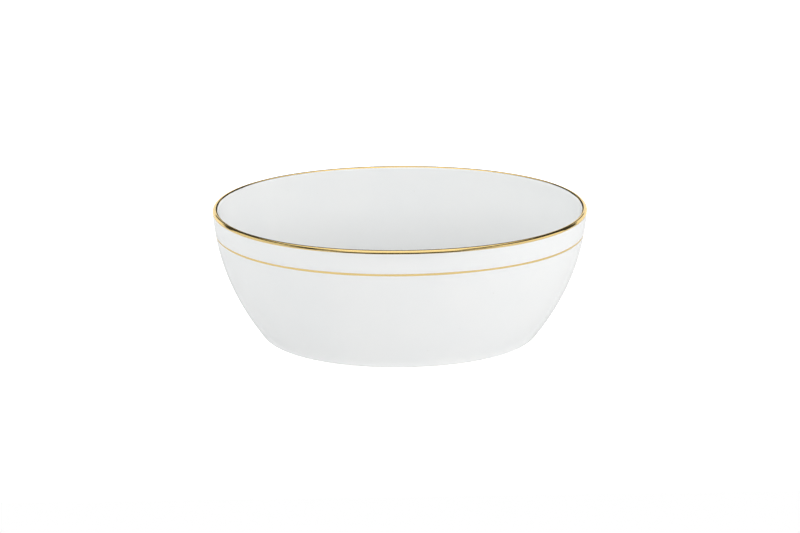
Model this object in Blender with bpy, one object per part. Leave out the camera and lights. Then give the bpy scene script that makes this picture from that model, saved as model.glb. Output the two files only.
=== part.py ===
"""Oval porcelain serving bowl: a biscuit body, the glaze fused over it, and two bands of fired gold.

Metres, +Z up. The origin is the centre of the foot's resting plane, and +X runs along the oval.
Every layer follows one reference surface, the outside of the glaze, as a stack of oval rings. Each
ring is one outline, scaled: an ellipse that is a little fuller between its long and short axes.
"""

from collections import namedtuple
from math import cos, pi, radians, sin, sqrt

import bmesh
import bpy

# Overall sizes of the glazed porcelain
LENGTH = 0.248
WIDTH = 0.178
HEIGHT = 0.088
FOOT_LENGTH = 0.184
FOOT_WIDTH = 0.1363
DIAGONAL_FULLNESS = 0.0116

# Wall: its inset from the rim grows as a straight share and a power of the depth
STRAIGHT_SHARE = 0.152
CURVE_POWER = 2.22
WALL_THICKNESS = 0.0038
HEEL_THICKENING = 0.0008
LIP_OUTER_DROP = 0.0013
LIP_INNER_DROP = 0.0024
FLOOR_HEIGHT = 0.008
FLOOR_BLEND_HEIGHT = 0.016
FLOOR_LENGTH = 0.158
FLOOR_WIDTH = 0.113

# Foot ring and the recess inside it
HEEL_RADIUS = 0.002
FOOT_THICKNESS = 0.0035
FOOT_INNER_RADIUS = 0.0012
RECESS_DEPTH = 0.003
RECESS_BLEND = 0.006
BARE_HEIGHT = 0.0007

# Coats, each a thin closed solid that keeps FIT_GAP to the coat below it
GLAZE_THICKNESS = 0.0003
GOLD_THICKNESS = 0.0002
FIT_GAP = 0.0003
BAND_DEPTH = 0.0021
BAND_END_ANGLE = radians(130)
LINE_DEPTH = 0.0163
LINE_WIDTH = 0.0016

# Facets
SEGMENTS = 64
WALL_STEPS = 9
WELL_STEPS = 7
LIP_STEPS = 8
BAND_STEPS = 6
BLEND_STEPS = 5
CORNER_STEPS = 3
SHARP_ANGLE = radians(40)

Ring = namedtuple("Ring", "half_length half_width height")


def inset(ring, reach, height):
    """The same oval drawn in by a reach, at another height."""
    return Ring(ring.half_length - reach, ring.half_width - reach, height)


def steps(start, end, count):
    """count evenly spaced values after start, the last one at end."""
    return [start + (end - start) * i / count for i in range(1, count + 1)]


def outer_ring(height):
    """The oval of the outer wall at a height."""
    depth = (HEIGHT - height) / HEIGHT
    share = STRAIGHT_SHARE * depth + (1 - STRAIGHT_SHARE) * depth**CURVE_POWER
    return Ring(
        LENGTH / 2 - (LENGTH - FOOT_LENGTH) / 2 * share,
        WIDTH / 2 - (WIDTH - FOOT_WIDTH) / 2 * share,
        height,
    )


def wall_slope(height):
    """How fast the outer wall draws in with depth, along the length and along the width."""
    depth = (HEIGHT - height) / HEIGHT
    rate = STRAIGHT_SHARE + (1 - STRAIGHT_SHARE) * CURVE_POWER * depth ** (CURVE_POWER - 1)
    return (LENGTH - FOOT_LENGTH) / 2 * rate / HEIGHT, (WIDTH - FOOT_WIDTH) / 2 * rate / HEIGHT


def inner_ring(height):
    """The oval of the inner wall: the outer oval less the wall's thickness, square to the wall."""
    outer = outer_ring(height)
    along, across = wall_slope(height)
    thickness = WALL_THICKNESS + HEEL_THICKENING * (HEIGHT - height) / HEIGHT
    return Ring(
        outer.half_length - thickness * sqrt(1 + along**2),
        outer.half_width - thickness * sqrt(1 + across**2),
        height,
    )


def recess_rings():
    """From the flat ceiling of the recess down to the inner edge of the resting face."""
    rest = inset(outer_ring(0), HEEL_RADIUS + FOOT_THICKNESS, 0)
    rings = [inset(rest, FOOT_INNER_RADIUS + RECESS_BLEND, RECESS_DEPTH)]
    for angle in [radians(90), *steps(radians(90), 0, CORNER_STEPS)]:
        rings.append(
            inset(rest, FOOT_INNER_RADIUS * sin(angle), FOOT_INNER_RADIUS * (1 - cos(angle)))
        )
    return rings


def heel_rings():
    """From the outer edge of the resting face round the heel, up to where the wall begins."""
    rings = []
    for angle in [radians(90), *steps(radians(90), 0, CORNER_STEPS)]:
        height = HEEL_RADIUS * (1 - sin(angle))
        rings.append(inset(outer_ring(height), HEEL_RADIUS * (1 - cos(angle)), height))
    return rings


def outer_wall_rings():
    """The outer wall from the heel up to the lip."""
    return [outer_ring(h) for h in steps(HEEL_RADIUS, HEIGHT - LIP_OUTER_DROP, WALL_STEPS)]


def lip_rings(end_angle, count):
    """The round lip, from its outer side at angle 0 to an angle towards its inner side at 180."""
    outside = outer_ring(HEIGHT - LIP_OUTER_DROP)
    inside = inner_ring(HEIGHT - LIP_INNER_DROP)
    rings = []
    for angle in steps(0, end_angle, count):
        across = (1 - cos(angle)) / 2
        drop = LIP_OUTER_DROP if cos(angle) > 0 else LIP_INNER_DROP
        rings.append(
            Ring(
                outside.half_length + (inside.half_length - outside.half_length) * across,
                outside.half_width + (inside.half_width - outside.half_width) * across,
                HEIGHT - drop * (1 - sin(angle)),
            )
        )
    return rings


def well_rings():
    """The inner wall from the lip down, and the blend onto the flat floor of the well."""
    blend_top = FLOOR_HEIGHT + FLOOR_BLEND_HEIGHT
    rings = [inner_ring(h) for h in steps(HEIGHT - LIP_INNER_DROP, blend_top, WELL_STEPS)]
    for angle in steps(0, radians(90), BLEND_STEPS):
        height = blend_top - FLOOR_BLEND_HEIGHT * sin(angle)
        wall = inner_ring(height)
        half_length = FLOOR_LENGTH / 2 + (wall.half_length - FLOOR_LENGTH / 2) * cos(angle)
        half_width = FLOOR_WIDTH / 2 + (wall.half_width - FLOOR_WIDTH / 2) * cos(angle)
        rings.append(Ring(half_length, half_width, height))
    return rings


def glazed(rings):
    """The rings that the glaze reaches, above the bare edge of the foot."""
    return [ring for ring in rings if ring.height > BARE_HEIGHT]


def material(name, colour, roughness, metallic=0.0):
    made = bpy.data.materials.new(name)
    made.use_nodes = True
    made.diffuse_color = (*colour, 1)
    shader = made.node_tree.nodes["Principled BSDF"]
    shader.inputs["Base Color"].default_value = (*colour, 1)
    shader.inputs["Roughness"].default_value = roughness
    shader.inputs["Metallic"].default_value = metallic
    return made


def ring_object(name, rings, finish, fill_first=False, fill_last=False):
    """An object that starts as one oval outline, extruded from each ring to the next."""
    bm = bmesh.new()
    bmesh.ops.create_circle(bm, segments=SEGMENTS, radius=1)
    for point in bm.verts:
        point.co *= 1 + DIAGONAL_FULLNESS * (2 * point.co.x * point.co.y) ** 2
    first = rings[0]
    bmesh.ops.scale(bm, vec=(first.half_length, first.half_width, 1), verts=bm.verts)
    bmesh.ops.translate(bm, vec=(0, 0, first.height), verts=bm.verts)
    first_outline = outline = bm.edges[:]
    for ring, after in zip(rings, rings[1:]):
        grown = bmesh.ops.extrude_edge_only(bm, edges=outline)["geom"]
        outline = [part for part in grown if isinstance(part, bmesh.types.BMEdge)]
        points = [part for part in grown if isinstance(part, bmesh.types.BMVert)]
        stretch = (after.half_length / ring.half_length, after.half_width / ring.half_width, 1)
        bmesh.ops.scale(bm, vec=stretch, verts=points)
        bmesh.ops.translate(bm, vec=(0, 0, after.height - ring.height), verts=points)
    if fill_first:
        bmesh.ops.holes_fill(bm, edges=first_outline)
    if fill_last:
        bmesh.ops.holes_fill(bm, edges=outline)
    mesh = bpy.data.meshes.new(name)
    bm.to_mesh(mesh)
    bm.free()
    mesh.shade_smooth()
    mesh.set_sharp_from_angle(angle=SHARP_ANGLE)
    mesh.materials.append(finish)
    obj = bpy.data.objects.new(name, mesh)
    bpy.context.scene.collection.objects.link(obj)
    return obj


def sink_under_glaze(obj):
    """Draws all but the bare foot inwards, square to the surface, to leave the glaze its room."""
    group = obj.vertex_groups.new(name="glazed")
    group.add([v.index for v in obj.data.vertices if v.co.z > BARE_HEIGHT], 1.0, "REPLACE")
    displace = obj.modifiers.new("glaze room", "DISPLACE")
    displace.strength = -(GLAZE_THICKNESS + FIT_GAP)
    displace.mid_level = 0
    displace.vertex_group = group.name


def give_thickness(obj, thickness, lift):
    """Makes a solid coat whose inner side stands off the object's surface by lift."""
    solidify = obj.modifiers.new("coat", "SOLIDIFY")
    solidify.thickness = thickness
    solidify.offset = 1 + 2 * lift / thickness
    solidify.use_even_offset = True


def build_body(biscuit):
    """The cast body, from the recess under it, round the foot and over the lip to the well."""
    outside = recess_rings() + heel_rings() + outer_wall_rings()
    rings = outside + lip_rings(pi, LIP_STEPS) + well_rings()
    body = ring_object("porcelain_body", rings, biscuit, fill_first=True, fill_last=True)
    sink_under_glaze(body)


def build_glaze(glaze):
    """One coat from the heel over the lip to the floor of the well, and one in the recess."""
    outside = glazed(heel_rings()) + outer_wall_rings()
    rings = outside + lip_rings(pi, LIP_STEPS) + well_rings()
    coat = ring_object("glaze_coat", rings, glaze, fill_last=True)
    recess = ring_object("recess_glaze", glazed(recess_rings()), glaze, fill_first=True)
    for obj in (coat, recess):
        give_thickness(obj, GLAZE_THICKNESS, lift=-GLAZE_THICKNESS)


def build_gilding(gold):
    """The gold band over the lip and the hairline below it, both fired on top of the glaze."""
    band_rings = [outer_ring(HEIGHT - BAND_DEPTH), outer_ring(HEIGHT - LIP_OUTER_DROP)]
    band = ring_object("rim_gilding", band_rings + lip_rings(BAND_END_ANGLE, BAND_STEPS), gold)
    middle = HEIGHT - LINE_DEPTH
    line_rings = [outer_ring(middle - LINE_WIDTH / 2), outer_ring(middle + LINE_WIDTH / 2)]
    line = ring_object("line_gilding", line_rings, gold)
    for obj in (band, line):
        give_thickness(obj, GOLD_THICKNESS, lift=FIT_GAP)


def main():
    for obj in list(bpy.data.objects):
        bpy.data.objects.remove(obj, do_unlink=True)
    build_body(material("biscuit_porcelain", (0.86, 0.85, 0.82), roughness=0.6))
    build_glaze(material("white_glaze", (0.90, 0.91, 0.91), roughness=0.08))
    build_gilding(material("burnished_gold", (0.86, 0.63, 0.27), roughness=0.16, metallic=1.0))


main()
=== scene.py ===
from math import cos, pi, radians, sin

import bpy
import numpy as np
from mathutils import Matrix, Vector


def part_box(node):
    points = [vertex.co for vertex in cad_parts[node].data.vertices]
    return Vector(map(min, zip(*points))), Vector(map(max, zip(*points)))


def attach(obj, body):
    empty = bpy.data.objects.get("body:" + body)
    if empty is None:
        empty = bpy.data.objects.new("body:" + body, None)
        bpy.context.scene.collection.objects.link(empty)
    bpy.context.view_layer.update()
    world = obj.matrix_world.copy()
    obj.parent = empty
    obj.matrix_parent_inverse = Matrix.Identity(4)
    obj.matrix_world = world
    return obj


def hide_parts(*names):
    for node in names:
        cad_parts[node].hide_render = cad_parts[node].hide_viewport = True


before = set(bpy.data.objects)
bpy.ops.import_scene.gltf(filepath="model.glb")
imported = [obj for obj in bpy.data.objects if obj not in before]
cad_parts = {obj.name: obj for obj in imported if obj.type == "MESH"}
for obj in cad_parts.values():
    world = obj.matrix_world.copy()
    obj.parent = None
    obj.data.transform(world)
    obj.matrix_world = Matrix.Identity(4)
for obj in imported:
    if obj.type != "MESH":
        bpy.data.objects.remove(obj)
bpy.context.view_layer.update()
print("frame loaded, cad nodes:", ", ".join(sorted(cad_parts)))

scene = bpy.context.scene

# The form shared by every piece, in metres. Overall sizes come from the frame, and these are the
# potter's curves between them.
bowlForm = {
    "diagonalFullness": 0.0116,  # how far the outline stands out past an ellipse at its diagonals
    "straightShare": 0.152,      # part of the wall's inset that grows evenly with depth
    "curvePower": 2.22,          # how late the rest of the inset turns in towards the foot
    "wallThickness": 0.0038,
    "heelThickening": 0.0008,
    "lipOuterDrop": 0.0013,      # height of the lip's outer quarter round
    "lipInnerDrop": 0.0024,      # height of its slower inner quarter round
    "wellFloorHeight": 0.008,
    "wellBlendHeight": 0.016,
    "wellFloorHalf": (0.079, 0.0565),
    "wellCrown": 0.00012,        # the fired floor of the well stands up by this at its middle
    "heelRadius": 0.002,
    "footThickness": 0.0035,
    "footInnerRadius": 0.0012,
    "recessDepth": 0.003,
    "recessBlend": 0.006,
    "glazeEdgeHeight": 0.0007,   # the glaze is wiped off below this
    "glazeThickness": 0.00022,
    "restingBand": 0.0001,       # points this near the lowest one belong to the resting face
}

# how many rows of points each stretch of the profile gets
rowCounts = {
    "recessCeiling": 14,
    "recessBlend": 15,
    "footCorner": 7,
    "heel": 14,
    "wall": 48,
    "well": 34,
    "wellBlend": 30,
    "wellFloor": 19,
}
rowPlaces = {
    "innermostInRecess": 0.08,   # as a share of the recess's ceiling
    "innermostInWell": 0.06,     # as a share of the well's floor
    "heelCrowding": 1.25,        # above 1, the wall's rows lie closer together near the heel
}

# what the kiln does to a true oval: slow waves round the rim, none at the foot
kilnWarp = {
    "roundWaves": ((2, 0.00007, 0.6), (3, 0.00005, 2.1), (5, 0.00002, 4.0)),
    "heightWaves": ((2, 0.00006, 1.1), (3, 0.00004, 3.4), (4, 0.00002, 5.2)),
    "heightPower": 1.6,
}


def footHalfAxes():
    # half axes of the oval at height 0: the body's lowest points are a heel radius inside it
    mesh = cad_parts["porcelain_body"].data
    flat = np.empty(len(mesh.vertices) * 3, np.float32)
    mesh.vertices.foreach_get("co", flat)
    points = flat.reshape(-1, 3)
    low = points[points[:, 2] < points[:, 2].min() + bowlForm["restingBand"]]
    return np.abs(low[:, :2]).max(axis=0) + bowlForm["heelRadius"]


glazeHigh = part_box("glaze_coat")[1]
rimHeight = glazeHigh.z
footHalf = footHalfAxes()
dropShare = bowlForm["lipOuterDrop"] / rimHeight
dropInset = (bowlForm["straightShare"] * dropShare
             + (1 - bowlForm["straightShare"]) * dropShare ** bowlForm["curvePower"])
rimHalf = (np.array([glazeHigh.x, glazeHigh.y]) - footHalf * dropInset) / (1 - dropInset)


def ovals(halfAxes, height):
    # rows of (half length, half width, height)
    return np.column_stack([halfAxes, np.broadcast_to(height, len(halfAxes))])


def outerHalf(height):
    # rim half axes less an inset: a straight share of the depth plus a power of the depth
    depth = (rimHeight - np.asarray(height, float)) / rimHeight
    share = (bowlForm["straightShare"] * depth
             + (1 - bowlForm["straightShare"]) * depth ** bowlForm["curvePower"])
    return rimHalf - share[..., None] * (rimHalf - footHalf)


def innerHalf(height):
    # outer half axes less the wall's thickness, measured square to the wall
    depth = (rimHeight - np.asarray(height, float)) / rimHeight
    rate = (bowlForm["straightShare"] + (1 - bowlForm["straightShare"])
            * bowlForm["curvePower"] * depth ** (bowlForm["curvePower"] - 1))
    slope = rate[..., None] * (rimHalf - footHalf) / rimHeight
    thickness = bowlForm["wallThickness"] + bowlForm["heelThickening"] * depth
    return outerHalf(height) - thickness[..., None] * np.sqrt(1 + slope ** 2)


def lipOvals(angle):
    # two quarter ellipses from the outer wall at 0 to the inner wall at pi, crown at pi / 2
    outside = outerHalf(rimHeight - bowlForm["lipOuterDrop"])
    inside = innerHalf(rimHeight - bowlForm["lipInnerDrop"])
    across = ((1 - np.cos(angle)) / 2)[:, None]
    drop = np.where(angle < pi / 2, bowlForm["lipOuterDrop"], bowlForm["lipInnerDrop"])
    return ovals(outside + (inside - outside) * across, rimHeight - drop * (1 - np.sin(angle)))


def recessOvals():
    # from near the centre of the recess's ceiling, down a soft blend, to the resting face
    rest = outerHalf(0) - bowlForm["heelRadius"] - bowlForm["footThickness"]
    corner, depth = bowlForm["footInnerRadius"], bowlForm["recessDepth"]
    ceilingEdge = rest - corner - bowlForm["recessBlend"]
    share = np.linspace(rowPlaces["innermostInRecess"], 1, rowCounts["recessCeiling"])
    ceiling = ovals(share[:, None] * ceilingEdge, depth)
    sweep = np.linspace(0, 1, rowCounts["recessBlend"] + 1)[1:]
    ease = sweep * sweep * (3 - 2 * sweep)
    blend = ovals(ceilingEdge + sweep[:, None] * bowlForm["recessBlend"],
                  depth - ease * (depth - corner))
    turn = np.linspace(pi / 2, 0, rowCounts["footCorner"] + 1)[1:]
    edge = ovals(rest - corner * np.sin(turn)[:, None], corner * (1 - np.cos(turn)))
    return np.concatenate([ceiling, blend, edge])


def heelOvals():
    # from the outer edge of the resting face round a quarter circle to the start of the wall
    turn = np.linspace(pi / 2, 0, rowCounts["heel"])
    height = bowlForm["heelRadius"] * (1 - np.sin(turn))
    return ovals(outerHalf(height) - (bowlForm["heelRadius"] * (1 - np.cos(turn)))[:, None], height)


def wallOvals(count):
    # the outer wall: heights from the heel to the lip go as a power of their place in the row
    share = np.linspace(0, 1, count + 1)[1:] ** rowPlaces["heelCrowding"]
    low, high = bowlForm["heelRadius"], rimHeight - bowlForm["lipOuterDrop"]
    height = low + (high - low) * share
    return ovals(outerHalf(height), height)


def wellOvals():
    # inner wall down from the lip, an elliptical blend, then the floor in to near its centre
    blendTop = bowlForm["wellFloorHeight"] + bowlForm["wellBlendHeight"]
    height = np.linspace(rimHeight - bowlForm["lipInnerDrop"], blendTop, rowCounts["well"] + 1)[1:]
    wall = ovals(innerHalf(height), height)
    turn = np.linspace(0, pi / 2, rowCounts["wellBlend"] + 1)[1:]
    height = blendTop - bowlForm["wellBlendHeight"] * np.sin(turn)
    floorHalf = np.array(bowlForm["wellFloorHalf"])
    blend = ovals(floorHalf + (innerHalf(height) - floorHalf) * np.cos(turn)[:, None], height)
    share = np.linspace(1, rowPlaces["innermostInWell"], rowCounts["wellFloor"] + 1)[1:]
    floor = ovals(share[:, None] * floorHalf,
                  bowlForm["wellFloorHeight"] + bowlForm["wellCrown"] * (1 - share ** 2) ** 2)
    return np.concatenate([wall, blend, floor])


def outline(t):
    # the unit outline: (cos t, sin t), fuller by a share of the square of sin 2t
    full = 1 + bowlForm["diagonalFullness"] * np.sin(2 * t) ** 2
    return np.stack([np.cos(t) * full, np.sin(t) * full], axis=-1)


def turned(profile, around):
    # each oval is the unit outline stretched to its half length and half width, at its height
    flat = outline(np.linspace(0, 2 * pi, around, endpoint=False))
    plan = profile[:, None, :2] * flat
    height = np.broadcast_to(profile[:, None, 2:], plan.shape[:2] + (1,))
    return np.concatenate([plan, height], axis=-1)


def outward(points):
    # unit normals of a turned grid: the step round it crossed with the step along its profile
    along = np.gradient(points, axis=0)
    sideways = np.roll(points, -1, axis=1) - np.roll(points, 1, axis=1)
    normal = np.cross(sideways, along)
    return normal / np.linalg.norm(normal, axis=-1, keepdims=True)


def waves(turn, modes):
    # a sum of cosines: (how many round the bowl, size, start angle)
    return sum(size * np.cos(count * turn + start) for count, size, start in modes)


def warped(points):
    # the rim leans in or out and dips by slow waves that fade to nothing at the foot
    turn = np.arctan2(points[..., 1] / rimHalf[1], points[..., 0] / rimHalf[0])
    fade = np.clip(points[..., 2] / rimHeight, 0, 1) ** kilnWarp["heightPower"]
    reach = np.hypot(points[..., 0] / rimHalf[0], points[..., 1] / rimHalf[1])
    most = sum(size for _, size, _ in kilnWarp["roundWaves"])
    lean = (waves(turn, kilnWarp["roundWaves"]) - most) * fade / rimHalf.max() * reach
    most = sum(size for _, size, _ in kilnWarp["heightWaves"])
    dip = (waves(turn, kilnWarp["heightWaves"]) - most) * fade * reach
    moved = points.copy()
    moved[..., :2] *= (1 + lean)[..., None]
    moved[..., 2] += dip
    return moved


def solidOf(name, rows, closedLoop=False, sharpAngle=40, uvRows=None):
    # a mesh from rows of points round the bowl: quads between rows, and either a pole at each
    # end or the last row joined back to the first
    rowCount, around = rows.shape[:2]
    points = rows.reshape(-1, 3)
    row = np.arange(rowCount if closedLoop else rowCount - 1)
    column = np.arange(around)
    here = (row[:, None] * around + column).ravel()
    beside = (row[:, None] * around + (column + 1) % around).ravel()
    above = ((row[:, None] + 1) % rowCount * around + column).ravel()
    across = ((row[:, None] + 1) % rowCount * around + (column + 1) % around).ravel()
    corners = [np.stack([here, beside, across, above], axis=1).ravel()]
    sizes = [np.full(len(here), 4)]
    if not closedLoop:
        first, last = len(points), len(points) + 1
        points = np.concatenate([points, [rows[0].mean(axis=0)], [rows[-1].mean(axis=0)]])
        end = (rowCount - 1) * around
        nextColumn = (column + 1) % around
        fan = np.full(around, first)
        corners.append(np.stack([fan, nextColumn, column], axis=1).ravel())
        fan = np.full(around, last)
        corners.append(np.stack([fan, end + column, end + nextColumn], axis=1).ravel())
        sizes += [np.full(around, 3), np.full(around, 3)]
    corners, sizes = np.concatenate(corners), np.concatenate(sizes)
    mesh = bpy.data.meshes.new(name)
    mesh.vertices.add(len(points))
    mesh.vertices.foreach_set("co", points.astype(np.float32).ravel())
    mesh.loops.add(len(corners))
    mesh.loops.foreach_set("vertex_index", corners.astype(np.int32))
    mesh.polygons.add(len(sizes))
    mesh.polygons.foreach_set("loop_start", (np.cumsum(sizes) - sizes).astype(np.int32))
    if uvRows is not None:
        # u is the distance round the band, v the place across it, both in metres
        u = np.stack([column, column + 1, column + 1, column], axis=1) / around * uvRows["round"]
        v = uvRows["across"]
        low, high = v[row], v[(row + 1) % rowCount]
        grid = np.empty((len(row), around, 4, 2))
        grid[..., 0] = u
        grid[..., 1] = np.stack([low, low, high, high], axis=1)[:, None]
        layer = mesh.uv_layers.new(name="bandRun")
        layer.data.foreach_set("uv", grid.astype(np.float32).ravel())
    mesh.update(calc_edges=True)
    mesh.validate()
    mesh.shade_smooth()
    mesh.set_sharp_from_angle(angle=radians(sharpAngle))
    piece = bpy.data.objects.new(name, mesh)
    scene.collection.objects.link(piece)
    return piece


def newFinish(name):
    # a material with its node tree and its shader
    finish = bpy.data.materials.new(name)
    finish.use_nodes = True
    tree = finish.node_tree
    return finish, tree, tree.nodes["Principled BSDF"]


def addNode(tree, kind, inputs=(), **settings):
    # a node with its settings, each input a fixed value or the output that feeds it
    node = tree.nodes.new(kind)
    for key, value in settings.items():
        setattr(node, key, value)
    for key, value in dict(inputs).items():
        if isinstance(value, bpy.types.NodeSocket):
            tree.links.new(value, node.inputs[key])
        else:
            node.inputs[key].default_value = value
    return node


def noiseOf(tree, place, scale, detail, roughness):
    # cloudy noise: scale is its grains to a unit of place, detail its octaves, and roughness
    # what share of one octave's strength the next one has
    return addNode(tree, "ShaderNodeTexNoise", {
        "Vector": place, "Scale": scale, "Detail": detail, "Roughness": roughness,
    }).outputs["Fac"]


def rangeOf(tree, value, fromLow, fromHigh, toLow, toHigh):
    # a straight line from one range of values to another, held at its ends
    return addNode(tree, "ShaderNodeMapRange", {
        "Value": value, "From Min": fromLow, "From Max": fromHigh, "To Min": toLow, "To Max": toHigh,
    }).outputs["Result"]


mixInputs = (0, 6, 7)            # the places of factor and both colours on a Mix node
mixOutput = 2                    # and of the mixed colour


def mixOf(tree, share, first, second):
    # first colour plus the share of the way to the second
    node = addNode(tree, "ShaderNodeMix", data_type="RGBA")
    for socket, value in zip(mixInputs, (share, first, second)):
        if isinstance(value, bpy.types.NodeSocket):
            tree.links.new(value, node.inputs[socket])
        else:
            node.inputs[socket].default_value = value
    return node.outputs[mixOutput]


def mathOf(tree, operation, first, second):
    # one operation on two values, each a number or the output that gives it
    node = addNode(tree, "ShaderNodeMath", operation=operation)
    for socket, value in enumerate((first, second)):
        if isinstance(value, bpy.types.NodeSocket):
            tree.links.new(value, node.inputs[socket])
        else:
            node.inputs[socket].default_value = value
    return node.outputs[0]


# in all three finishes, a noise is its scale, detail and roughness, and a span is the stretch of
# noise values that the change runs over
glazeFinish = {
    "white": (0.872, 0.878, 0.874, 1),
    "cool": (0.858, 0.868, 0.868, 1),     # where the glaze lies thicker
    "toneNoise": (26, 3, 0.5),
    "toneSpan": (0.35, 0.65),
    "speckNoise": (520, 1, 0.5),
    "speckSpan": (0.79, 0.83),            # only the very top of a fine noise shows as specks
    "speckShare": 0.35,
    "speck": (0.70, 0.68, 0.63, 1),
    "roughness": (0.055, 0.085),
    "rippleNoise": (210, 2, 0.5),         # orange peel, a few millimetres across
    "ripple": 0.0000035,
    "swellNoise": (38, 1, 0.5),           # slow hand-dipped unevenness
    "swell": 0.000018,
    "ior": 1.5,
}


def makeGlazeFinish(name):
    # two near whites by a slow noise, rare specks, and a fine ripple over a slow swell
    finish, tree, shader = newFinish(name)
    place = addNode(tree, "ShaderNodeTexCoord").outputs["Object"]
    tone = rangeOf(tree, noiseOf(tree, place, *glazeFinish["toneNoise"]),
                   *glazeFinish["toneSpan"], 0, 1)
    colour = mixOf(tree, tone, glazeFinish["white"], glazeFinish["cool"])
    speck = rangeOf(tree, noiseOf(tree, place, *glazeFinish["speckNoise"]),
                    *glazeFinish["speckSpan"], 0, glazeFinish["speckShare"])
    colour = mixOf(tree, speck, colour, glazeFinish["speck"])
    tree.links.new(colour, shader.inputs["Base Color"])
    low, high = glazeFinish["roughness"]
    tree.links.new(rangeOf(tree, tone, 0, 1, low, high), shader.inputs["Roughness"])
    shader.inputs["IOR"].default_value = glazeFinish["ior"]
    ripple = noiseOf(tree, place, *glazeFinish["rippleNoise"])
    swell = noiseOf(tree, place, *glazeFinish["swellNoise"])
    slow = addNode(tree, "ShaderNodeBump", {
        "Height": swell, "Distance": glazeFinish["swell"], "Strength": 1.0})
    fine = addNode(tree, "ShaderNodeBump", {
        "Height": ripple, "Distance": glazeFinish["ripple"], "Strength": 1.0,
        "Normal": slow.outputs["Normal"]})
    tree.links.new(fine.outputs["Normal"], shader.inputs["Normal"])
    return finish


biscuitFinish = {
    "clay": (0.80, 0.785, 0.745, 1),
    "warm": (0.72, 0.69, 0.63, 1),
    "rubbed": (0.55, 0.54, 0.52, 1),      # grey marks on the resting edge from use
    "toneNoise": (90, 4, 0.6),
    "toneSpan": (0.3, 0.7),
    "rubbedBelow": 0.0003,
    "rubNoise": (240, 5, 0.7),
    "rubSpan": (0.5, 0.72),
    "rubShare": 0.55,
    "grainNoise": (1500, 4, 0.7),
    "grain": 0.00002,
    "grainSpan": (0.3, 0.7),
    "roughness": (0.5, 0.72),
}


def makeBiscuitFinish():
    # two clay tones by a noise, grey rub marks near height 0, and a fine grain
    finish, tree, shader = newFinish("bareBiscuit")
    place = addNode(tree, "ShaderNodeTexCoord").outputs["Object"]
    tone = noiseOf(tree, place, *biscuitFinish["toneNoise"])
    colour = mixOf(tree, rangeOf(tree, tone, *biscuitFinish["toneSpan"], 0, 1),
                   biscuitFinish["clay"], biscuitFinish["warm"])
    height = addNode(tree, "ShaderNodeSeparateXYZ", {"Vector": place}).outputs["Z"]
    low = rangeOf(tree, height, 0, biscuitFinish["rubbedBelow"], 1, 0)
    wear = rangeOf(tree, noiseOf(tree, place, *biscuitFinish["rubNoise"]),
                   *biscuitFinish["rubSpan"], 0, biscuitFinish["rubShare"])
    colour = mixOf(tree, mathOf(tree, "MULTIPLY", low, wear), colour, biscuitFinish["rubbed"])
    tree.links.new(colour, shader.inputs["Base Color"])
    grain = noiseOf(tree, place, *biscuitFinish["grainNoise"])
    tree.links.new(rangeOf(tree, grain, *biscuitFinish["grainSpan"], *biscuitFinish["roughness"]),
                   shader.inputs["Roughness"])
    bump = addNode(tree, "ShaderNodeBump", {
        "Height": grain, "Distance": biscuitFinish["grain"], "Strength": 1.0})
    tree.links.new(bump.outputs["Normal"], shader.inputs["Normal"])
    return finish


goldFinish = {
    "full": (0.84, 0.63, 0.27, 1),
    "thin": (0.79, 0.57, 0.24, 1),        # where the brush left less gold
    "streaks": (55, 4200, 1),             # brush streaks: long round the band, fine across it
    "streakNoise": (1, 3, 0.55),
    "thinSpan": (0.45, 0.75),
    "patchNoise": (75, 2, 0.5),
    "patchSpan": (0.35, 0.7),
    "patchLeast": 0.25,                   # thinning left outside the patches
    "dustNoise": (900, 3, 0.6),
    "dustSpan": (0.35, 0.7),
    "roughness": (0.065, 0.12),
    "streakSpan": (0.4, 0.8),
    "streakRoughness": 0.03,              # added where the streaks are strongest
    "brushMark": 0.0000003,
}


def makeGoldFinish(name, thinShare):
    # two golds, mixed by streaks times patches; dust and streaks roughen it
    finish, tree, shader = newFinish(name)
    run = addNode(tree, "ShaderNodeUVMap", uv_map="bandRun").outputs["UV"]
    stretched = addNode(tree, "ShaderNodeMapping", {
        "Vector": run, "Scale": goldFinish["streaks"]}).outputs["Vector"]
    streak = noiseOf(tree, stretched, *goldFinish["streakNoise"])
    place = addNode(tree, "ShaderNodeTexCoord").outputs["Object"]
    patch = noiseOf(tree, place, *goldFinish["patchNoise"])
    uneven = mathOf(tree, "MULTIPLY", rangeOf(tree, streak, *goldFinish["thinSpan"], 0, 1),
                    rangeOf(tree, patch, *goldFinish["patchSpan"], goldFinish["patchLeast"], 1))
    thin = mathOf(tree, "MULTIPLY", uneven, thinShare)
    tree.links.new(mixOf(tree, thin, goldFinish["full"], goldFinish["thin"]),
                   shader.inputs["Base Color"])
    shader.inputs["Metallic"].default_value = 1.0
    dust = noiseOf(tree, place, *goldFinish["dustNoise"])
    low, high = goldFinish["roughness"]
    rough = mathOf(tree, "ADD", rangeOf(tree, dust, *goldFinish["dustSpan"], low, high),
                   rangeOf(tree, streak, *goldFinish["streakSpan"],
                           0, goldFinish["streakRoughness"]))
    tree.links.new(rough, shader.inputs["Roughness"])
    bump = addNode(tree, "ShaderNodeBump", {
        "Height": streak, "Distance": goldFinish["brushMark"], "Strength": 1.0})
    tree.links.new(bump.outputs["Normal"], shader.inputs["Normal"])
    return finish


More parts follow.
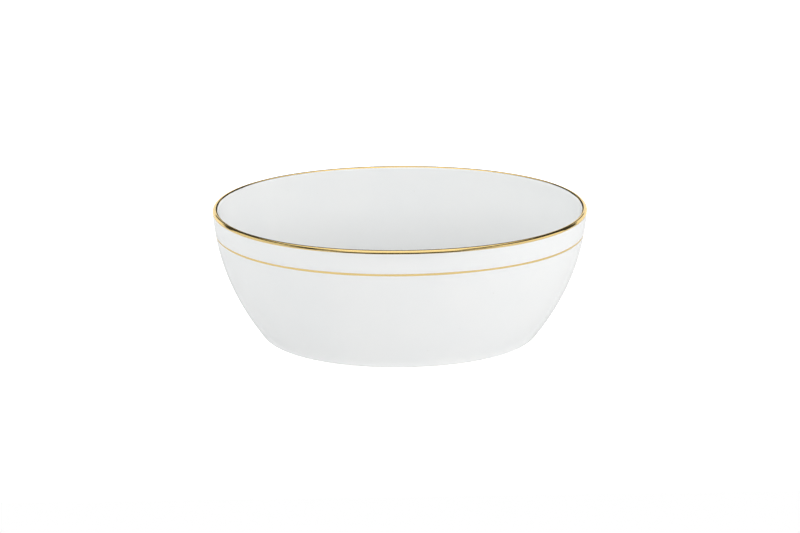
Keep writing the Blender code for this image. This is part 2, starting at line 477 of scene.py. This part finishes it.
porcelain = {
    "around": 256,
    "bodyWallRows": 40,
    "bodyLipRows": 18,
    "coatLipRows": 30,
    "biscuitSink": 0.0002,       # how far the body lies under the glaze's face
    "bareStep": 0.00006,         # and how far where it is bare
    "stepStart": 0.8,            # the step between them starts at this share of the glaze's edge
    "stepReach": 0.25,
    "onFloor": 1e-7,             # below this a point rests on the floor and stays there
    "rollFromEdge": 0.0005,      # the glaze draws up into a low roll this far from its edge
    "rollHalfWidth": 0.0003,
    "rollHeight": 0.00003,
    "edgeReach": 0.00022,        # and turns in over this, down by a share of its thickness
    "edgeFall": 0.95,
    "edgeRows": (1, 1.06, 1.15, 1.3, 1.5, 1.75),     # heights in glaze edge heights
    "edgeClearance": 1.05,       # the heel's own rows start this much above the last of them
}


def makeBiscuitBody():
    # the whole cast form, sunk square to itself under the glaze and nearly flush where bare
    lip = lipOvals(np.linspace(0, pi, porcelain["bodyLipRows"] + 1)[1:])
    profile = np.concatenate([recessOvals(), heelOvals(), wallOvals(porcelain["bodyWallRows"]),
                              lip, wellOvals()])
    surface = turned(profile, porcelain["around"])
    height = surface[..., 2]
    edge = bowlForm["glazeEdgeHeight"]
    covered = np.clip((height - edge * porcelain["stepStart"])
                      / (edge * porcelain["stepReach"]), 0, 1)
    sink = porcelain["bareStep"] + (porcelain["biscuitSink"] - porcelain["bareStep"]) * covered
    sink = np.where(height < porcelain["onFloor"], 0, sink)
    rows = warped(surface - outward(surface) * sink[..., None])
    body = solidOf("biscuitBody", rows)
    body.data.materials.append(makeBiscuitFinish())
    return body


def coatOf(name, profile, finish, edgeFirst):
    # a glaze coat: its face, a rolled edge, and its back joined at that edge, a pole at each end
    surface = turned(profile, porcelain["around"])
    normal = outward(surface)
    depth = bowlForm["glazeThickness"]
    run = np.r_[0, np.cumsum(np.linalg.norm(np.diff(profile, axis=0), axis=1))]
    fromEdge = run if edgeFirst else run[-1] - run
    # a bell curve for the roll near the edge, less a quarter round at the edge itself
    offRoll = (fromEdge - porcelain["rollFromEdge"]) / porcelain["rollHalfWidth"]
    roll = np.exp(-offRoll ** 2) * porcelain["rollHeight"]
    tail = np.clip(fromEdge / porcelain["edgeReach"], 0, 1)
    lift = roll - porcelain["edgeFall"] * depth * (1 - np.sqrt(1 - (1 - tail) ** 2))
    face = surface + normal * lift[:, None, None]
    back = (surface - normal * depth)[::-1]
    rows = np.concatenate([back, face] if edgeFirst else [face, back])
    coat = solidOf(name, warped(rows))
    coat.data.materials.append(finish)
    return coat


def makeGlazeCoat(finish):
    # from the floor of the well up, over the lip and down to the wiped edge above the foot
    heel = heelOvals()
    extra = bowlForm["glazeEdgeHeight"] * np.array(porcelain["edgeRows"])
    turn = np.arcsin(1 - extra / bowlForm["heelRadius"])
    nearEdge = ovals(
        outerHalf(extra) - (bowlForm["heelRadius"] * (1 - np.cos(turn)))[:, None], extra)
    heel = heel[heel[:, 2] > extra[-1] * porcelain["edgeClearance"]]
    lip = lipOvals(np.linspace(0, pi, porcelain["coatLipRows"] + 1)[1:])
    profile = np.concatenate([nearEdge, heel, wallOvals(rowCounts["wall"]), lip, wellOvals()])
    return coatOf("glazeCoat", profile, finish, edgeFirst=True)


def makeRecessGlaze(finish):
    # the ceiling of the recess and the inner side of the foot, down to the wiped edge
    profile = recessOvals()
    profile = profile[profile[:, 2] > bowlForm["glazeEdgeHeight"]]
    return coatOf("recessGlaze", profile, finish, edgeFirst=False)


goldStrip = {
    "sink": 0.00003,             # how far its back lies inside the glaze
    "sharpAngle": 50,            # in degrees
}

rimBand = {
    "around": 512,
    "wallRows": 9,
    "lipRows": 32,
    "depth": 0.0020,             # lower edge below the rim, on the outer wall
    "innerAngle": 130,           # where it ends on the way over the lip, in degrees
    "film": 0.000018,            # fired gold, with the glaze swollen a little under it
    "edgeRound": 0.00006,        # width of the rounding along both of its edges
    "edgeLeast": 0.05,           # square of the share of the film left at the very edge
    "thinShare": 0.35,
    "lowerWander": ((2, 0.00005, 0.3), (5, 0.00004, 2.2), (9, 0.00003, 4.4), (17, 0.00002, 1.0)),
    "innerWander": ((3, 0.05, 1.3), (7, 0.03, 0.4), (13, 0.02, 3.0)),
}

hairline = {
    "around": 512,
    "rows": 15,
    "depth": 0.0163,             # middle of the line below the rim
    "width": 0.00145,
    "crown": 0.00002,            # a full line of gold stands up in the middle
    "film": 0.000008,
    "thinShare": 0.5,
    "placeWander": ((2, 0.00006, 1.9), (5, 0.00003, 0.2), (8, 0.00002, 3.3)),
    "widthWander": ((4, 0.06, 0.7), (11, 0.05, 2.6), (23, 0.03, 5.0)),
}


def bandFrom(name, surface, lift, finish, across):
    # a closed strip: its face lifted off the glaze by lift, its back sunk a little into it
    normal = outward(surface)
    face = surface + normal * lift[:, None, None]
    back = surface - normal * goldStrip["sink"]
    rows = warped(np.concatenate([face, back[::-1]]))
    roundRun = 2 * pi * np.sqrt((rimHalf ** 2).mean())
    uvRows = {"round": roundRun, "across": np.concatenate([across, across[::-1]])}
    band = solidOf(name, rows, closedLoop=True, sharpAngle=goldStrip["sharpAngle"],
                   uvRows=uvRows)
    band.data.materials.append(finish)
    return band


def makeRimGold():
    # one strip over the lip; both edges wander as a turned brush leaves them
    t = np.linspace(0, 2 * pi, rimBand["around"], endpoint=False)
    low = rimHeight - rimBand["depth"] + waves(t, rimBand["lowerWander"])
    top = rimHeight - bowlForm["lipOuterDrop"]
    wallShare = np.linspace(0, 1, rimBand["wallRows"])
    height = low + (top - low) * wallShare[:, None]
    half = outerHalf(height)
    direction = outline(t)
    wall = np.concatenate([half * direction, height[..., None]], axis=-1)
    end = radians(rimBand["innerAngle"]) + waves(t, rimBand["innerWander"])
    angle = np.linspace(0, 1, rimBand["lipRows"] + 1)[1:, None] * end
    flat = lipOvals(angle.ravel()).reshape(*angle.shape, 3)
    lip = np.concatenate([flat[..., :2] * direction, flat[..., 2:]], axis=-1)
    surface = np.concatenate([wall, lip])
    run = np.r_[0, np.cumsum(np.linalg.norm(np.diff(surface[:, 0], axis=0), axis=1))]
    edge = np.minimum(run, run[-1] - run) / rimBand["edgeRound"]
    rounding = np.clip(1 - (1 - np.clip(edge, 0, 1)) ** 2, rimBand["edgeLeast"], 1)
    lift = rimBand["film"] * np.sqrt(rounding)
    finish = makeGoldFinish("rimBrushedGold", rimBand["thinShare"])
    return bandFrom("rimGold", surface, lift, finish, run)


def makeLineGold():
    # a crowned thread of gold: its height over the glaze falls as the square of the way out
    t = np.linspace(0, 2 * pi, hairline["around"], endpoint=False)
    middle = rimHeight - hairline["depth"] + waves(t, hairline["placeWander"])
    width = hairline["width"] * (1 + waves(t, hairline["widthWander"]))
    across = np.linspace(-1, 1, hairline["rows"])
    height = middle + across[:, None] * width / 2
    direction = outline(t)
    surface = np.concatenate([outerHalf(height) * direction, height[..., None]], axis=-1)
    lift = hairline["crown"] * (1 - across ** 2) + hairline["film"]
    finish = makeGoldFinish("hairlineGold", hairline["thinShare"])
    return bandFrom("lineGold", surface, lift, finish, across * hairline["width"] / 2)


glaze = makeGlazeFinish("whiteGlaze")
pieces = {
    "porcelain_body": (makeBiscuitBody(), "biscuit"),
    "glaze_coat": (makeGlazeCoat(glaze), "glaze"),
    "recess_glaze": (makeRecessGlaze(makeGlazeFinish("recessWhiteGlaze")), "glaze"),
    "rim_gilding": (makeRimGold(), "gold"),
    "line_gilding": (makeLineGold(), "gold"),
}
for node, (piece, slotName) in pieces.items():
    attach(piece, "root")
    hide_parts(node)
    piece.data.calc_loop_triangles()
    print(piece.name, "made,", len(piece.data.loop_triangles), "triangles")


# in metres and degrees
studio = {
    "floorHalf": (1.3, 1.3),
    "floorFront": -0.255,         # the white table ends here, towards the camera
    "floorWhite": (0.80, 0.80, 0.80, 1),
    "floorRoughness": 0.9,
    "floorGlossGlow": 0.11,
    "floorNearGlow": 0.22,        # paper lights what is close above it, such as the foot
    "floorNearReach": (0.004, 0.010),
    "floorCameraGlow": 0.85,
    "roomGrey": 0.05,
    "panelGap": 0.03,
    "roomFill": 0.43,
    # name, azimuth, elevation, distance, width, height, radiance on matt surfaces and in
    # reflections, colour
    "softboxes": (
        ("frontSoftbox", 6, 21, 1.15, 1.90, 0.40, 1.76, 0.96, (1.0, 1.0, 1.0)),
        ("highFrontSoftbox", 0, 48, 1.20, 0.90, 0.76, 0.88, 0.92, (1.0, 1.0, 1.0)),
        ("rightSoftbox", 70, 18, 1.15, 1.07, 0.92, 1.58, 1.05, (1.0, 1.0, 1.0)),
        ("leftSoftbox", -80, 25, 1.15, 1.05, 0.75, 1.54, 1.02, (0.97, 0.995, 1.0)),
        ("rightBackPanel", 130, 22, 1.15, 1.00, 0.80, 0.64, 0.0, (1.0, 1.0, 1.0)),
        ("leftBackPanel", -127, 26, 1.15, 0.90, 0.90, 0.70, 0.0, (0.97, 0.99, 1.0)),
        ("backFill", 180, 20, 1.15, 1.00, 0.80, 0.60, 0.0, (1.0, 1.0, 1.0)),
        ("overheadSoftbox", 180, 84, 1.20, 1.00, 1.50, 0.05, 1.15, (1.0, 1.0, 1.0)),
    ),
    "gleamTint": (1.0, 0.99, 0.97),
    # low cards behind the bowl that only its gloss and gold mirror: name, near and far x, y,
    # height, radiance
    "gleamCards": (
        ("rightLowCard", 0.105, 0.30, 0.45, 0.27, 1.08),
        ("rightTallCard", 0.30, 1.00, 0.45, 0.42, 1.08),
        ("leftLowCard", -0.105, -0.30, 0.45, 0.27, 1.05),
        ("leftTallCard", -0.30, -1.00, 0.45, 0.42, 1.05),
    ),
}

# in degrees and metres, the lens and sensor in millimetres
view = {
    "azimuth": -1.937,
    "elevation": 20.206,
    "distance": 1.5,
    "aim": (-0.00008, 0.0, 0.04513),
    "lens": 100.9935,
    "sensor": 36.0,
}


def backward(azimuth, elevation):
    # unit vector from the bowl: azimuth 0 is the front, 90 the right-hand side
    a, e = radians(azimuth), radians(elevation)
    return Vector((sin(a) * cos(e), -cos(a) * cos(e), sin(e)))


def addPanel(name, place, faceAway, width, height, radiance, colour, lights):
    # a rectangle of even light; its watts are radiance times area times pi
    light = bpy.data.lights.new(name, "AREA")
    light.shape = "RECTANGLE"
    light.size, light.size_y = width, height
    light.energy = radiance * width * height * pi
    light.color = colour
    holder = bpy.data.objects.new(name, light)
    scene.collection.objects.link(holder)
    holder.location = place
    holder.rotation_euler = faceAway.to_track_quat("Z", "Y").to_euler()
    holder.visible_camera = False
    holder.visible_diffuse = lights != "gloss"
    holder.visible_glossy = lights != "matt"


def addSoftbox(name, azimuth, elevation, distance, width, height, mattRadiance,
               glossRadiance, colour):
    # stands at a distance from the bowl in a direction, and faces it
    out = backward(azimuth, elevation)
    middle = Vector(view["aim"])
    nearer = distance - studio["panelGap"]
    for lights, radiance, reach in (("matt", mattRadiance, distance),
                                    ("gloss", glossRadiance, nearer)):
        if radiance > 0:
            addPanel(name, middle + out * reach, out, width, height, radiance, colour, lights)


def addGleamCard(name, nearX, farX, y, height, radiance):
    # stands on the floor, upright, and faces the camera's side
    addPanel(name, Vector(((nearX + farX) / 2, y, height / 2)), Vector((0, 1, 0)),
             abs(farX - nearX), height, radiance, studio["gleamTint"], "gloss")


def makeFloor():
    # a flat sheet, clear from below so that the foot can be seen; it glows by one strength to
    # the camera, one to reflections, and one to matt surfaces that fades with their distance
    left, back = studio["floorHalf"]
    front = studio["floorFront"]
    mesh = bpy.data.meshes.new("paleFloor")
    mesh.from_pydata([(-left, front, 0), (left, front, 0), (left, back, 0), (-left, back, 0)],
                     [], [(0, 1, 2, 3)])
    floor = bpy.data.objects.new("paleFloor", mesh)
    scene.collection.objects.link(floor)
    finish, tree, shader = newFinish("paleFloorPaper")
    shader.inputs["Base Color"].default_value = studio["floorWhite"]
    shader.inputs["Roughness"].default_value = studio["floorRoughness"]
    shader.inputs["Specular IOR Level"].default_value = 0.0
    shader.inputs["Emission Color"].default_value = (1, 1, 1, 1)
    path = addNode(tree, "ShaderNodeLightPath")
    glow = mathOf(tree, "ADD",
                  mathOf(tree, "MULTIPLY", path.outputs["Is Glossy Ray"], studio["floorGlossGlow"]),
                  mathOf(tree, "MULTIPLY", path.outputs["Is Camera Ray"], studio["floorCameraGlow"]))
    near = rangeOf(tree, path.outputs["Ray Length"], *studio["floorNearReach"],
                   studio["floorNearGlow"], 0)
    near = mathOf(tree, "MULTIPLY", near, path.outputs["Is Diffuse Ray"])
    tree.links.new(mathOf(tree, "ADD", glow, near), shader.inputs["Emission Strength"])
    clear = addNode(tree, "ShaderNodeBsdfTransparent")
    side = addNode(tree, "ShaderNodeNewGeometry").outputs["Backfacing"]
    both = addNode(tree, "ShaderNodeMixShader", {
        "Fac": side, 1: shader.outputs["BSDF"], 2: clear.outputs["BSDF"]})
    tree.links.new(both.outputs["Shader"], tree.nodes["Material Output"].inputs["Surface"])
    mesh.materials.append(finish)


def makeRoom():
    # white to the camera, one grey to reflections and a lighter one to matt surfaces
    world = bpy.data.worlds.new("studioRoom")
    world.use_nodes = True
    tree = world.node_tree
    background = tree.nodes["Background"]
    path = addNode(tree, "ShaderNodeLightPath")
    room = rangeOf(tree, path.outputs["Is Glossy Ray"], 0, 1,
                   studio["roomFill"], studio["roomGrey"])
    strength = addNode(tree, "ShaderNodeMix", {
        "Factor": path.outputs["Is Camera Ray"], "A": room, "B": 1.0}, data_type="FLOAT")
    tree.links.new(strength.outputs["Result"], background.inputs["Strength"])
    background.inputs["Color"].default_value = (1, 1, 1, 1)
    scene.world = world


def makeCamera():
    # stands at a distance from the aim point in a direction, and looks at it
    camera = bpy.data.cameras.new("studioCamera")
    camera.sensor_width = view["sensor"]
    camera.lens = view["lens"]
    holder = bpy.data.objects.new("studioCamera", camera)
    scene.collection.objects.link(holder)
    out = backward(view["azimuth"], view["elevation"])
    holder.location = Vector(view["aim"]) + out * view["distance"]
    holder.rotation_euler = out.to_track_quat("Z", "Y").to_euler()
    scene.camera = holder


makeFloor()
makeRoom()
for softbox in studio["softboxes"]:
    addSoftbox(*softbox)
for card in studio["gleamCards"]:
    addGleamCard(*card)
makeCamera()
scene.view_settings.view_transform = "Standard"
print("floor, softboxes and camera set")
